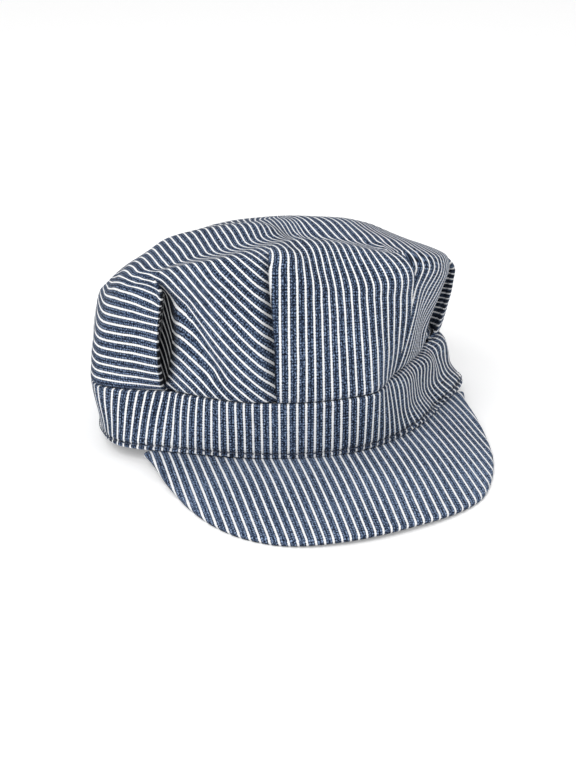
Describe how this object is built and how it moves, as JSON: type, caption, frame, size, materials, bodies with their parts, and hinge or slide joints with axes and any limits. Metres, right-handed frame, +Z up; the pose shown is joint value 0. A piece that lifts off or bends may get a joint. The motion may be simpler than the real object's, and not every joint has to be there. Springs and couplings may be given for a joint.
{
  "type": "railroad engineer cap",
  "caption": "Soft pleated work cap with a tall folded crown, an upright band and a short curved visor, in vertically striped denim.",
  "frame": {"origin": "middle of the cap's footprint, on the level surface that the cap rests on", "axes": "-Y towards the visor, +X towards the wearer's left, +Z up"},
  "size_m": [0.1952, 0.2464, 0.1122],
  "materials": {
    "crown_denim": "woven striped denim",
    "band_denim": "woven striped denim",
    "visor_denim": "woven striped denim"
  },
  "bodies": {
    "root": {"crown": "crown_denim", "band": "band_denim", "visor": "visor_denim"}
  },
  "joints": []
}
